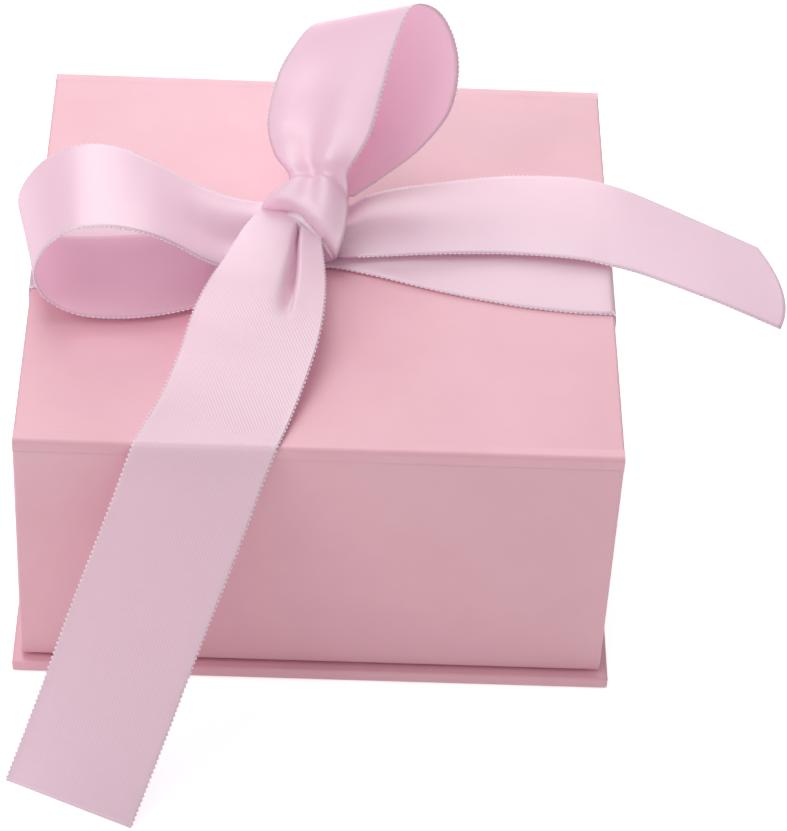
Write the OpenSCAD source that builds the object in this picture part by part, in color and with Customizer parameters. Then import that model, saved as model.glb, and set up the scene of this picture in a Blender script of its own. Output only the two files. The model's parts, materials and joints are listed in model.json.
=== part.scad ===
// Rigid paper-covered gift box with a front flap, tied with a satin ribbon bow.
// Millimetres. The origin is on the table under the middle of the box,
// +Z is up, and the flap faces -Y.

/* [Box] */
// Width of the lid, the flap and the spine
box_w = 100; // [90:1:120]
// Depth from the flap's outer face to the spine's outer face
box_d = 100; // [90:1:120]
// Height from the underside of the base board to the top of the lid
box_h = 53; // [45:1:70]
// How far the base board stands out past each side
base_overhang = 1.5; // [0.5:0.1:3]
// How far the base board stands out in front of the flap
base_front_overhang = 1.5; // [0.5:0.1:3]

/* [Board and paper] */
// Thickness of the greyboard
board_t = 2; // [1.5:0.1:2.5]
// Thickness of the wrap paper and the lining paper
paper_t = 0.15; // [0.1:0.01:0.2]
// Border of turned-in wrap paper that the lining leaves bare
liner_inset = 3; // [2:0.5:8]
// Corner radius of the covered boards
corner_r = 0.45; // [0.2:0.05:0.5]
// Outer radius of a paper fold
fold_r = 1.6; // [1:0.1:2]

/* [Tray] */
// Width of the tray
tray_w = 97; // [85:0.5:98]
// Gap between the tray's rim and the lid's lining
rim_gap = 0.1; // [0.05:0.05:0.5]
// Gap between the flap's lining and the tray's front
flap_gap = 0.2; // [0.1:0.05:0.6]
// Gap between the flap's lower edge and the base
flap_lift = 0.7; // [0.4:0.1:1.5]
// Thickness of the tape stays on the tray's corners
stay_t = 0.1; // [0.05:0.01:0.15]
// Length of each tape stay along one wall
stay_w = 9; // [6:0.5:12]
// How far the tray's wrap is turned down inside the rim
tray_turn_in = 15; // [8:1:25]

/* [Magnets] */
// Diameter of each disc magnet
magnet_d = 10; // [6:1:12]
// Thickness of each disc magnet
magnet_t = 1; // [0.8:0.1:1.2]
// Distance of each magnet from the middle of the front
magnet_x = 28; // [15:1:36]
// Height of the magnets below the lid's top
magnet_drop = 36; // [25:1:40]

/* [Ribbon] */
// Width of the satin ribbon
ribbon_w = 22; // [16:1:26]
// Thickness of the satin ribbon
ribbon_t = 0.35; // [0.25:0.05:0.5]

/* [Hidden] */

// colours
pink = [0.94, 0.77, 0.81];
rose = [0.88, 0.70, 0.75];
satin = [0.95, 0.84, 0.90];
greyboard = [0.60, 0.58, 0.55];
steel = [0.75, 0.76, 0.78];
tape = [0.85, 0.80, 0.70];

// heights
base_z = ribbon_t;                       // the box stands on the strap under it
top_z = base_z + box_h;
panel_t = board_t + 2 * paper_t;         // a board with its wrap and its lining
floor_z = base_z + panel_t;              // top of the base panel
rim_z = top_z - panel_t - rim_gap;

// depths
half_d = box_d / 2;
fold_end = fold_r + 0.9;                 // from a fold's outer corner to the panels it joins
flap_in_y = -half_d + panel_t;
tray_front_y = flap_in_y + flap_gap;
tray_back_y = half_d - panel_t;
base_w = box_w + 2 * base_overhang;

// both paper hinges turn about an axis this far inside the box's outer edge
hinge_in = 0.4;

// a magnet's hole has this much room round the disc
magnet_room = 0.05;

// ---------------------------------------------------------------- plain helpers

// box between two opposite corners
module block(low, high) {
    translate(low) cube(high - low);
}

// rectangle with four rounded corners, its lower edge on y = 0
module round_plate(w, l, r) {
    translate([-w / 2 + r, 0]) square([w - 2 * r, l]);
    translate([-w / 2, r]) square([w, l - 2 * r]);
    for (x = [-1, 1], y = [r, l - r])
        translate([x * (w / 2 - r), y]) circle(r, $fn = 24);
}

// rectangle with its two far corners rounded
module free_end_plate(w, l, r) {
    translate([-w / 2, 0]) square([w, l - r]);
    translate([-w / 2 + r, 0]) square([w - 2 * r, l]);
    for (x = [-1, 1])
        translate([x * (w / 2 - r), l - r]) circle(r, $fn = 24);
}

// ---------------------------------------------------------------- covered panels
// A panel lies with its outer face on z = 0. Its hinge end is at y = 0 and its
// other end at y = l. A free end is wrapped like the sides, a joined end isn't.

module panel_board(w, l, free_end) {
    end = free_end ? l - paper_t : l;
    block([-w / 2 + paper_t, 0, paper_t], [w / 2 - paper_t, end, paper_t + board_t]);
}

module panel_liner(w, l, free_end) {
    end = free_end ? l - liner_inset : l;
    block([-w / 2 + liner_inset, 0, paper_t + board_t], [w / 2 - liner_inset, end, panel_t]);
}

module panel_cover(w, l, free_end) {
    past = 1;
    end = free_end ? l - paper_t : l + past;
    liner_end = free_end ? l - liner_inset : l + past;
    difference() {
        linear_extrude(panel_t)
            if (free_end) free_end_plate(w, l, corner_r);
            else translate([-w / 2, 0]) square([w, l]);
        block([-w / 2 + paper_t, -past, paper_t],
              [w / 2 - paper_t, end, paper_t + board_t]);
        block([-w / 2 + liner_inset, -past, paper_t + board_t - 0.01],
              [w / 2 - liner_inset, liner_end, panel_t + past]);
    }
}

// where each panel goes
base_l = half_d + base_front_overhang + half_d - fold_end;
lid_l = box_d - 2 * fold_end;
flap_l = top_z - fold_end - floor_z - flap_lift;
spine_l = top_z - base_z - 2 * fold_end;

module place_base()  { translate([0, half_d - fold_end, base_z]) rotate([0, 0, 180]) children(); }
module place_lid()   { translate([0, half_d - fold_end, top_z]) rotate([180, 0, 0]) children(); }
module place_flap()  { translate([0, -half_d, top_z - fold_end]) rotate([-90, 0, 0]) children(); }
module place_spine() { translate([0, half_d, top_z - fold_end]) rotate([-90, 0, 180]) children(); }

// ---------------------------------------------------------------- paper folds
// Quarter-round fold seen along X: its outer corner is at the origin, and its
// two legs run along -Y and -Z to the ends of the panels that it joins.

module fold_profile() {
    fold_t = 2 * paper_t;
    difference() {
        translate([-fold_r, -fold_r]) circle(fold_r, $fn = 48);
        translate([-fold_r, -fold_r]) circle(fold_r - fold_t, $fn = 48);
        translate([-3 * fold_r, -3 * fold_r]) square([2 * fold_r, 4 * fold_r]);
        translate([-3 * fold_r, -3 * fold_r]) square([4 * fold_r, 2 * fold_r]);
    }
    translate([-fold_end, -fold_t]) square([fold_end - fold_r, fold_t]);
    translate([-fold_t, -fold_end]) square([fold_t, fold_end - fold_r]);
}

module fold_strip() {
    translate([-box_w / 2, 0, 0])
        rotate([90, 0, 90])
            linear_extrude(box_w) fold_profile();
}

// ---------------------------------------------------------------- base and spine

module base_board() {
    color(greyboard) place_base() panel_board(base_w, base_l, true);
}

module base_cover_paper() {
    color(rose) place_base() panel_cover(base_w, base_l, true);
}

module base_fold_paper() {
    color(rose)
        translate([0, half_d, base_z]) mirror([0, 0, 1]) fold_strip();
}

module spine_board() {
    color(greyboard) place_spine() panel_board(box_w, spine_l, false);
}

module spine_cover_paper() {
    color(pink) place_spine() panel_cover(box_w, spine_l, false);
}

// ---------------------------------------------------------------- tray

skin = paper_t + stay_t;                       // wrap paper over the tape stays
tray_x = tray_w / 2;
wall_in_x = tray_x - skin - board_t;           // inner face of a side wall's board
wall_in_front = tray_front_y + skin + board_t;
wall_in_back = tray_back_y - skin - board_t;
tray_board_z = floor_z + paper_t;
tray_floor_z = tray_board_z + board_t;         // top of the floor board
wall_top = rim_z - paper_t;

module tray_floor_board() {
    color(greyboard)
        block([-wall_in_x, wall_in_front, tray_board_z], [wall_in_x, wall_in_back, tray_floor_z]);
}

module tray_side_wall(side) {
    x = side * (wall_in_x + board_t / 2);
    color(greyboard)
        block([x - board_t / 2, tray_front_y + skin, tray_board_z],
              [x + board_t / 2, tray_back_y - skin, wall_top]);
}

module tray_left_wall()  { tray_side_wall(-1); }
module tray_right_wall() { tray_side_wall(1); }

module tray_front_wall() {
    color(greyboard)
        difference() {
            block([-wall_in_x, tray_front_y + skin, tray_board_z],
                  [wall_in_x, wall_in_front, wall_top]);
            magnet_pair(tray_front_y + skin - 0.01, magnet_t + magnet_room, magnet_room);
        }
}

module tray_back_wall() {
    color(greyboard)
        block([-wall_in_x, wall_in_back, tray_board_z], [wall_in_x, tray_back_y - skin, wall_top]);
}

// L-shaped tape round each upright corner of the tray
module tray_corner_stays() {
    stay_top = wall_top - 2;
    color(tape)
        for (x = [-1, 1], y = [0, 1]) {
            corner = [x * (tray_x - paper_t), y == 0 ? tray_front_y + paper_t : tray_back_y - paper_t];
            inward = y == 0 ? 1 : -1;
            translate([corner[0], corner[1], tray_board_z])
                scale([-x, inward, 1])
                    difference() {
                        cube([stay_w, stay_w, stay_top - tray_board_z]);
                        translate([stay_t, stay_t, -1]) cube([stay_w, stay_w, box_h]);
                    }
        }
}

// wrap paper: outside, over the rim and down inside it
module tray_wrap_paper() {
    turn_z = wall_top - tray_turn_in;
    inner = wall_in_x - paper_t;
    color(pink)
        difference() {
            block([-tray_x, tray_front_y, floor_z], [tray_x, tray_back_y, rim_z]);
            block([-inner, wall_in_front + paper_t, turn_z], [inner, wall_in_back - paper_t, rim_z + 1]);
            block([-tray_x + paper_t, tray_front_y + paper_t, tray_board_z],
                  [tray_x - paper_t, tray_back_y - paper_t, turn_z]);
            difference() {
                block([-tray_x + paper_t, tray_front_y + paper_t, turn_z - 0.01],
                      [tray_x - paper_t, tray_back_y - paper_t, wall_top]);
                block([-wall_in_x, wall_in_front, turn_z - 1], [wall_in_x, wall_in_back, wall_top + 1]);
            }
        }
}

// lining paper: the floor and the walls up to the turned-in wrap
module tray_liner_paper() {
    turn_z = wall_top - tray_turn_in;
    inner = wall_in_x - paper_t;
    color(rose)
        difference() {
            block([-wall_in_x, wall_in_front, tray_floor_z], [wall_in_x, wall_in_back, turn_z]);
            block([-inner, wall_in_front + paper_t, tray_floor_z + paper_t],
                  [inner, wall_in_back - paper_t, turn_z + 1]);
        }
}

// ---------------------------------------------------------------- magnets

module magnet_pair(y, length, room) {
    for (x = [-magnet_x, magnet_x])
        translate([x, y, top_z - magnet_drop])
            rotate([-90, 0, 0]) cylinder(h = length, r = magnet_d / 2 + room, $fn = 48);
}

module tray_magnets() {
    color(steel) magnet_pair(tray_front_y + skin, magnet_t, 0);
}

module flap_magnets() {
    color(steel) magnet_pair(flap_in_y - paper_t - magnet_t, magnet_t, 0);
}

// ---------------------------------------------------------------- lid and flap

module lid_board() {
    color(greyboard) place_lid() panel_board(box_w, lid_l, false);
}

module lid_cover_paper() {
    color(pink) place_lid() panel_cover(box_w, lid_l, false);
}

module lid_liner_paper() {
    color(rose) place_lid() panel_liner(box_w, lid_l, false);
}

module lid_hinge_paper() {
    color(pink) translate([0, half_d, top_z]) fold_strip();
}

module flap_board() {
    color(greyboard)
        difference() {
            place_flap() panel_board(box_w, flap_l, true);
            magnet_pair(flap_in_y - paper_t - magnet_t - magnet_room,
                        magnet_t + magnet_room + 0.01, magnet_room);
        }
}

module flap_cover_paper() {
    color(pink) place_flap() panel_cover(box_w, flap_l, true);
}

module flap_liner_paper() {
    color(rose) place_flap() panel_liner(box_w, flap_l, true);
}

module flap_hinge_paper() {
    color(pink) translate([0, -half_d, top_z]) mirror([0, 1, 0]) fold_strip();
}

// ---------------------------------------------------------------- ribbon
// A stretch of ribbon is a list of stations. Each station is
// [x, y, height over the lid, width direction x, y, z, share of the full width].
// Where the share is under 1 the ribbon is gathered, and its pleats make it thicker.

// its two ends are turned down past the lid's edges
BAND = [
    [-51.05, -0.8, -3.00, 0, 1, 0, 1.00],
    [-51.05, -0.8, -1.60, 0, 1, 0, 1.00],
    [-51.00, -0.8, -0.50, 0, 1, 0, 1.00],
    [-50.50, -0.8,  0.12, 0, 1, 0, 1.00],
    [-49.50, -0.8,  0.22, 0, 1, 0, 1.00],
    [-47.00, -0.8,  0.22, 0, 1, 0, 1.00],
    [-42.00, -0.8,  0.22, 0, 1, 0, 1.00],
    [-32.00, -0.8,  0.22, 0, 1, 0, 1.00],
    [-20.00, -0.6,  0.25, 0, 1, 0, 0.90],
    [ -8.00, -0.3,  0.45, 0, 1, 0, 0.55],
    [  0.00,  0.0,  0.60, 0, 1, 0, 0.38],
    [  8.00, -0.4,  0.45, 0, 1, 0, 0.58],
    [ 20.00, -1.4,  0.25, 0, 1, 0, 0.88],
    [ 32.00, -2.0,  0.22, 0, 1, 0, 1.00],
    [ 42.00, -2.5,  0.22, 0, 1, 0, 1.00],
    [ 47.00, -2.8,  0.22, 0, 1, 0, 1.00],
    [ 49.50, -2.8,  0.22, 0, 1, 0, 1.00],
    [ 50.50, -2.8,  0.12, 0, 1, 0, 1.00],
    [ 51.00, -2.8, -0.50, 0, 1, 0, 1.00],
    [ 51.05, -2.8, -1.60, 0, 1, 0, 1.00],
    [ 51.05, -2.8, -3.00, 0, 1, 0, 1.00]];

LEFT_LOOP = [
    [ -5.5,  0.5,  5.0,  0.10, 1, 0.05, 0.40],
    [-11.0, -1.0,  5.6,  0.00, 1, 0.10, 0.45],
    [-16.0, -4.5,  7.4, -0.05, 1, 0.15, 0.62],
    [-22.0, -8.0, 11.0, -0.10, 1, 0.18, 0.85],
    [-30.0, -8.8, 15.6, -0.05, 1, 0.10, 0.95],
    [-38.5, -7.4, 18.0, -0.06, 1, 0.05, 1.00],
    [-46.5, -7.0, 16.0, -0.15, 1, 0.08, 1.00],
    [-50.5, -8.0,  9.5, -0.18, 1, 0.00, 1.00],
    [-49.0, -8.5,  3.5, -0.25, 1, 0.00, 1.00],
    [-42.0, -8.5,  1.2, -0.30, 1, 0.00, 1.00],
    [-33.0, -8.0,  1.0, -0.30, 1, 0.00, 1.00],
    [-22.0, -6.0,  1.5, -0.30, 1, 0.00, 0.85],
    [-12.0, -2.5,  2.4, -0.20, 1, 0.00, 0.55],
    [ -6.0, -0.5,  3.2, -0.10, 1, 0.00, 0.40]];

UPPER_LOOP = [
    [-1.0,  5.0,  9.0, 1.00,  0.00, 0.00, 0.40],
    [-1.2,  7.5, 11.0, 0.90, -0.35, 0.25, 0.45],
    [-1.5, 11.0, 14.0, 0.85, -0.45, 0.25, 0.75],
    [-1.0, 16.0, 19.0, 0.78, -0.55, 0.30, 1.00],
    [ 0.5, 20.0, 26.0, 0.76, -0.50, 0.38, 1.00],
    [ 3.5, 24.0, 31.0, 0.75, -0.48, 0.45, 1.00],
    [ 8.5, 26.5, 33.5, 0.74, -0.46, 0.50, 1.00],
    [12.5, 27.5, 29.5, 0.75, -0.42, 0.50, 1.00],
    [14.0, 26.0, 23.0, 0.80, -0.30, 0.45, 1.00],
    [12.5, 21.0, 15.0, 0.88, -0.10, 0.35, 0.95],
    [ 8.0, 14.0,  9.0, 0.93,  0.10, 0.20, 0.75],
    [ 2.5,  6.2,  7.0, 1.00,  0.00, 0.00, 0.42]];

RIGHT_TAIL = [
    [ 3.5,  1.5,  5.5,  0.10, 1, 0.10, 0.45],
    [ 9.0,  4.0,  5.0,  0.20, 1, 0.10, 0.75],
    [20.0,  6.0,  4.5,  0.30, 1, 0.10, 0.90],
    [34.0,  7.5,  4.0,  0.35, 1, 0.10, 0.95],
    [46.0,  7.3,  3.0,  0.30, 1, 0.10, 0.95],
    [58.0,  5.5,  1.0,  0.20, 1, 0.10, 0.95],
    [69.0,  2.8, -2.0,  0.05, 1, 0.12, 0.97],
    [79.5, -0.5, -5.0, -0.15, 1, 0.16, 1.00]];

// the front tail lies flat until it turns down over the lid's edge, so its y is
// measured along the ribbon as if it were still flat
FRONT_TAIL_TOP = [
    [ -3.0,  -3.5, 7.6, 1.00,  0.10, 0, 0.42],
    [ -4.5,  -8.0, 8.8, 1.00, -0.05, 0, 0.62],
    [ -7.2, -16.5, 8.4, 1.00, -0.24, 0, 0.92],
    [-10.2, -26.0, 5.2, 0.96, -0.32, 0, 1.00],
    [-13.3, -35.0, 2.0, 0.96, -0.30, 0, 1.00],
    [-16.3, -43.5, 0.6, 0.99, -0.14, 0, 1.02],
    [-18.2, -49.2, 0.4, 1.00,  0.00, 0, 1.06]];

FRONT_TAIL = [
    [-18.6,  -50.4, 0.4, 1.00,  0.00, 0, 1.06],
    [-20.6,  -56.0, 0.4, 0.99, -0.14, 0, 1.02],
    [-23.3,  -64.0, 0.4, 0.94, -0.34, 0, 1.00],
    [-28.6,  -79.0, 0.4, 0.94, -0.34, 0, 1.00],
    [-34.0,  -95.0, 0.4, 0.94, -0.34, 0, 1.00],
    [-39.4, -110.5, 0.4, 0.94, -0.34, 0, 1.00]];

function unit(v) = v / norm(v);

// Catmull-Rom curve through the stations, with n steps between two of them
function between(p0, p1, p2, p3, t) =
    0.5 * (2 * p1 + (p2 - p0) * t + (2 * p0 - 5 * p1 + 4 * p2 - p3) * t * t
           + (3 * p1 - p0 - 3 * p2 + p3) * t * t * t);
function smooth(s, n) =
    let (last = len(s) - 1,
         all = concat([2 * s[0] - s[1]], s, [2 * s[last] - s[last - 1]]))
    concat([for (i = [0 : last - 1], k = [0 : n - 1])
                between(all[i], all[i + 1], all[i + 2], all[i + 3], k / n)], [s[last]]);

// a point of the front tail, turned down over the lid's front edge round the hinge axis
hinge_y = half_d - hinge_in;
drop_angle = 55.5;                       // slope of the hanging stretch below level
tail_lift = FRONT_TAIL[0][2];            // height of the ribbon's middle over the lid
function over_edge(p) =
    let (along = -hinge_y - p[1], middle_r = hinge_in + tail_lift, r = hinge_in + p[2],
         a = min(along / middle_r * 180 / PI, drop_angle),
         rest = max(along - middle_r * drop_angle * PI / 180, 0))
    along <= 0 ? p
               : [p[0], -hinge_y - r * sin(a) - rest * cos(a), r * cos(a) - hinge_in - rest * sin(a)];

// point of a ribbon: u runs across it from -1 to 1, lift is along its face normal
function ribbon_point(row, normal, u, lift) =
    [row[0], row[1], row[2]] + u * row[6] * ribbon_w / 2 * unit([row[3], row[4], row[5]])
    + lift * normal;

// A strip of ribbon along its stations: n steps between two stations and m across.
// A turned strip goes over the lid's front edge.
module ribbon_strip(stations, n = 4, m = 1, turned = false) {
    rows = smooth(stations, n);
    last = len(rows) - 1;
    ring = 2 * m + 2;                    // points of one cross-section, lower face first
    points = [for (i = [0 : last])
        let (row = rows[i], before = rows[max(i - 1, 0)], after = rows[min(i + 1, last)],
             along = [for (k = [0 : 2]) after[k] - before[k]],
             normal = unit(cross(along, [row[3], row[4], row[5]])),
             lift = ribbon_t / 2 / row[6])
        each concat([for (j = [0 : m]) ribbon_point(row, normal, 2 * j / m - 1, -lift)],
                    [for (j = [m : -1 : 0]) ribbon_point(row, normal, 2 * j / m - 1, lift)])];
    sides = [for (i = [0 : last - 1], k = [0 : ring - 1])
        let (a = ring * i + k, b = ring * i + (k + 1) % ring)
        each [[a, b, b + ring], [a, b + ring, a + ring]]];
    ends = [for (j = [0 : m - 1])
        let (low = j, high = ring - 1 - j, far = ring * last)
        each [[low, high, high - 1], [low, high - 1, low + 1],
              [far + low, far + high - 1, far + high], [far + low, far + low + 1, far + high - 1]]];
    translate([0, 0, top_z])
        polyhedron([for (p = points) turned ? over_edge(p) : p], concat(sides, ends));
}

// side strap: an upright strip seen along Y, from the table to beside the lid
strap_top = top_z - 0.5;
strap_x = base_w / 2 + 0.05;             // inner face where it passes the base board
strap_lid_x = box_w / 2 + 0.1;           // inner face beside the lid

module strap(side, middle_y) {
    color(satin)
        translate([0, middle_y + ribbon_w / 2, 0])
            rotate([90, 0, 0])
                linear_extrude(ribbon_w)
                    polygon([for (p = [[strap_x, 0], [strap_x + ribbon_t, 0],
                                       [strap_x + ribbon_t, floor_z],
                                       [strap_lid_x + ribbon_t, strap_top],
                                       [strap_lid_x, strap_top], [strap_x, floor_z]])
                             [side * p[0], p[1]]]);
}

left_strap_y = BAND[0][1];
right_strap_y = BAND[len(BAND) - 1][1];

module ribbon_left_strap()  { strap(-1, left_strap_y); }
module ribbon_right_strap() { strap(1, right_strap_y); }

module ribbon_under_strap() {
    half_w = ribbon_w / 2;
    color(satin)
        linear_extrude(ribbon_t)
            polygon([[-strap_x, left_strap_y - half_w], [strap_x, right_strap_y - half_w],
                     [strap_x, right_strap_y + half_w], [-strap_x, left_strap_y + half_w]]);
}

module ribbon_band() { color(satin) ribbon_strip(BAND); }

module ribbon_knot() {
    color(satin)
        translate([0, 0, top_z])
            hull() {
                translate([-3.5, 3.0, 6.0]) sphere(3.2, $fn = 24);
                translate([ 1.5, 1.5, 6.0]) sphere(3.4, $fn = 24);
                translate([-1.0, -1.0, 4.6]) sphere(3.2, $fn = 24);
            }
}

module ribbon_left_loop()  { color(satin) ribbon_strip(LEFT_LOOP); }
module ribbon_upper_loop() { color(satin) ribbon_strip(UPPER_LOOP); }
module ribbon_right_tail() { color(satin) ribbon_strip(RIGHT_TAIL); }
module ribbon_front_tail_top() { color(satin) ribbon_strip(FRONT_TAIL_TOP); }
module ribbon_front_tail() { color(satin) ribbon_strip(FRONT_TAIL, n = 8, m = 8, turned = true); }

// ---------------------------------------------------------------- the box

base_board();
base_cover_paper();
base_fold_paper();
spine_board();
spine_cover_paper();
tray_floor_board();
tray_front_wall();
tray_back_wall();
tray_left_wall();
tray_right_wall();
tray_corner_stays();
tray_wrap_paper();
tray_liner_paper();
tray_magnets();
lid_board();
lid_cover_paper();
lid_liner_paper();
lid_hinge_paper();
flap_board();
flap_cover_paper();
flap_liner_paper();
flap_magnets();
flap_hinge_paper();
ribbon_under_strap();
ribbon_left_strap();
ribbon_right_strap();
ribbon_band();
ribbon_knot();
ribbon_left_loop();
ribbon_upper_loop();
ribbon_right_tail();
ribbon_front_tail_top();
ribbon_front_tail();
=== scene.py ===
# %% [markdown]
# # A paper-covered gift box tied with a satin bow
# The box is greyboard covered in pink paper: a base that carries a tray, a spine, a lid
# and a front flap, all joined by paper folds. One length of satin ribbon goes round it
# and ends in a bow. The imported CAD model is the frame, and every piece made here sits
# where that frame says. Lengths are written in millimetres and multiplied by MM once.

import json
import math

import bmesh
import bpy
from mathutils import Euler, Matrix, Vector


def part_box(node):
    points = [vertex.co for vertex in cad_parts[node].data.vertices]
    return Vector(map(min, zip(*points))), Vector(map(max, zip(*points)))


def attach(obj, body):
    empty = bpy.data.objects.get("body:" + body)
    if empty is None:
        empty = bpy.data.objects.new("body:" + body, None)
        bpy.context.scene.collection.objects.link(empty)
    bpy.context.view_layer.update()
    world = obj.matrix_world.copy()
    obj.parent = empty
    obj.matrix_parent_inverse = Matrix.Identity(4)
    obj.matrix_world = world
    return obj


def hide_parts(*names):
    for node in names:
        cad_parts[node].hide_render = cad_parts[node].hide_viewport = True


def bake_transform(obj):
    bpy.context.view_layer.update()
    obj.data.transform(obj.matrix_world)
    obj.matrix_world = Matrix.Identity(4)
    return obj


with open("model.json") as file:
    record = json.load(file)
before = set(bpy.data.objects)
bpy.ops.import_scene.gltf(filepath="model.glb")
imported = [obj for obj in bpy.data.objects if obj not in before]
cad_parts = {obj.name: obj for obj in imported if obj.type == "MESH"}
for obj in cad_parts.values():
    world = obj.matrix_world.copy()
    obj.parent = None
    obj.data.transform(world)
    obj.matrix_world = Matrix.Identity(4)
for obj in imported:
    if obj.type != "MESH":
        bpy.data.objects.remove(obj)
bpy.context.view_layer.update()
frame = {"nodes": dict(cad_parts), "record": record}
MM = 0.001

# %% [markdown]
# ## The camera
# The box is looked at from above its front, so the lid shows most and the front less.
# The camera is placed by two angles and a distance from a target, because those can be
# read and changed one at a time. A long lens, here of about 145 mm, keeps the box's
# upright edges nearly parallel.

# %% The camera
TARGET = Vector((13.76, 0, 15.94)) * MM
CAMERA_TURN, CAMERA_RISE, CAMERA_ROLL = (math.radians(a) for a in (-2.38, 42.33, 3.47))
CAMERA_FAR = 607.9 * MM
LENS_LENGTH, SENSOR_WIDTH = 145.14, 36

camera = bpy.data.objects.new("camera", bpy.data.cameras.new("camera"))
bpy.context.collection.objects.link(camera)
direction = Vector((math.sin(CAMERA_TURN) * math.cos(CAMERA_RISE),
                    -math.cos(CAMERA_TURN) * math.cos(CAMERA_RISE),
                    math.sin(CAMERA_RISE)))
camera.location = TARGET + CAMERA_FAR * direction
turn = (Euler((0, 0, CAMERA_TURN)).to_matrix()
        @ Euler((math.pi / 2 - CAMERA_RISE, 0, 0)).to_matrix()
        @ Euler((0, 0, CAMERA_ROLL)).to_matrix())
camera.rotation_euler = turn.to_euler()
camera.data.lens = LENS_LENGTH
camera.data.sensor_width = SENSOR_WIDTH
bpy.context.scene.camera = camera
print("camera at", [round(c, 3) for c in camera.location])

# %% [markdown]
# ## The surround
# Pink paper and pale satin need soft light, or the satin's folds burn out. A surround
# that is nearly white gives every face some light. What looks straight at it, as the
# camera does, sees it pure white, and what it lights gets a little over a third of that.
# A Light Path node tells the two apart, so the background is white and the box keeps
# its colour.

# %% The surround
SURROUND_LIGHT = 0.37

def shader(owner, kind, **sockets):
    """A node of this kind in a material's or world's tree, with its sockets' values set."""
    made = owner.node_tree.nodes.new(kind)
    for name, value in sockets.items():
        made.inputs[name.replace("_", " ")].default_value = value
    return made

world = bpy.data.worlds.new("studio")
bpy.context.scene.world = world
world.use_nodes = True
world.node_tree.nodes.clear()
surround = shader(world, "ShaderNodeBackground", Color=(1.0, 0.985, 0.99, 1),
                  Strength=SURROUND_LIGHT)
white = shader(world, "ShaderNodeBackground", Color=(1, 1, 1, 1), Strength=1.0)
ray = shader(world, "ShaderNodeLightPath")
seen = shader(world, "ShaderNodeMixShader")
link = world.node_tree.links.new
link(ray.outputs["Is Camera Ray"], seen.inputs[0])
link(surround.outputs[0], seen.inputs[1])
link(white.outputs[0], seen.inputs[2])
link(seen.outputs[0], shader(world, "ShaderNodeOutputWorld").inputs[0])
print("surround gives a light of", SURROUND_LIGHT)

# %% [markdown]
# ## The lamps
# The surround alone would leave the box flat. Five large square lamps shape it: one
# above and one behind make the lid brighter than the front and put soft shadows under
# the bow's loops. One low behind shines through the satin of the loops, one at the left
# models the folds, and a weak one in front keeps the flap from going grey. All of them
# point at one place near the lid, so only their places, widths and powers differ.

# %% The lamps
LAMP_AIM = Vector((0, 0, 50)) * MM
# each lamp's place and width in millimetres, and its power in watts
LAMPS = {
    "top_lamp": ((-150, 170, 850), 420, 2.0),
    "back_lamp": ((-60, 640, 520), 600, 1.7),
    "side_lamp": ((-600, -300, 660), 500, 2.3),
    "rear_lamp": ((100, 800, 220), 600, 2.4),
    "front_lamp": ((-100, -620, 620), 500, 0.9)}

for name, (place, width, power) in LAMPS.items():
    place = Vector([c * MM for c in place])
    lamp = bpy.data.objects.new(name, bpy.data.lights.new(name, "AREA"))
    lamp.data.size, lamp.data.energy = width * MM, power
    lamp.location = place
    lamp.rotation_euler = (LAMP_AIM - place).to_track_quat("-Z", "Y").to_euler()
    bpy.context.collection.objects.link(lamp)
print("lamps:", list(LAMPS))

# %% [markdown]
# ## The floor
# The floor is one large pale square, so the box has something to throw its shadow on.
# A pale floor in shadowless light still renders a little grey. What looks straight at
# it, or sees it mirrored, therefore also gets a faint glow from it, which turns it white
# and leaves the shadow, while the light that it throws back at the box stays as it is.

# %% The floor
FLOOR_HALF = 3000
FLOOR_GLOW = 0.6

def floor_finish():
    """A pale matt finish that glows a little to what looks straight at it."""
    material = bpy.data.materials.new("pale_floor")
    material.use_nodes = True
    material.node_tree.nodes.clear()
    link = material.node_tree.links.new
    grain = shader(material, "ShaderNodeTexNoise", Scale=60.0, Detail=3.0)
    level = shader(material, "ShaderNodeMapRange", To_Min=0.88, To_Max=0.90)
    matt = shader(material, "ShaderNodeBsdfDiffuse")
    glow = shader(material, "ShaderNodeEmission", Color=(1, 1, 1, 1), Strength=FLOOR_GLOW)
    lit = shader(material, "ShaderNodeAddShader")
    ray = shader(material, "ShaderNodeLightPath")
    either = shader(material, "ShaderNodeMath")
    either.operation = "MAXIMUM"
    seen = shader(material, "ShaderNodeMixShader")
    link(grain.outputs["Fac"], level.inputs["Value"])
    link(level.outputs["Result"], matt.inputs["Color"])
    link(matt.outputs[0], lit.inputs[0])
    link(glow.outputs[0], lit.inputs[1])
    link(ray.outputs["Is Camera Ray"], either.inputs[0])
    link(ray.outputs["Is Glossy Ray"], either.inputs[1])
    link(either.outputs[0], seen.inputs[0])
    link(matt.outputs[0], seen.inputs[1])
    link(lit.outputs[0], seen.inputs[2])
    link(seen.outputs[0], shader(material, "ShaderNodeOutputMaterial").inputs[0])
    return material

floor_mesh = bmesh.new()
bmesh.ops.create_grid(floor_mesh, x_segments=1, y_segments=1, size=FLOOR_HALF * MM)
floor = bpy.data.objects.new("floor", bpy.data.meshes.new("floor"))
floor_mesh.to_mesh(floor.data)
floor_mesh.free()
floor.data.materials.append(floor_finish())
bpy.context.collection.objects.link(floor)
print("floor:", 2 * FLOOR_HALF, "mm wide")

# %% [markdown]
# ## The paper's finish
# The wrap is uncoated dyed paper: even in colour, matt, with a very fine felt-like
# grain that only shows close up. Two noises are enough. A broad faint one moves the
# colour, and a fine one drives a shallow bump. Both read Object coordinates, so the
# pattern keeps its scale on every panel.

# %% Paper finishes
# how strongly the fine grain joins the broad cloud in the paper's colour
GRAIN_SHARE = 0.35

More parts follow.
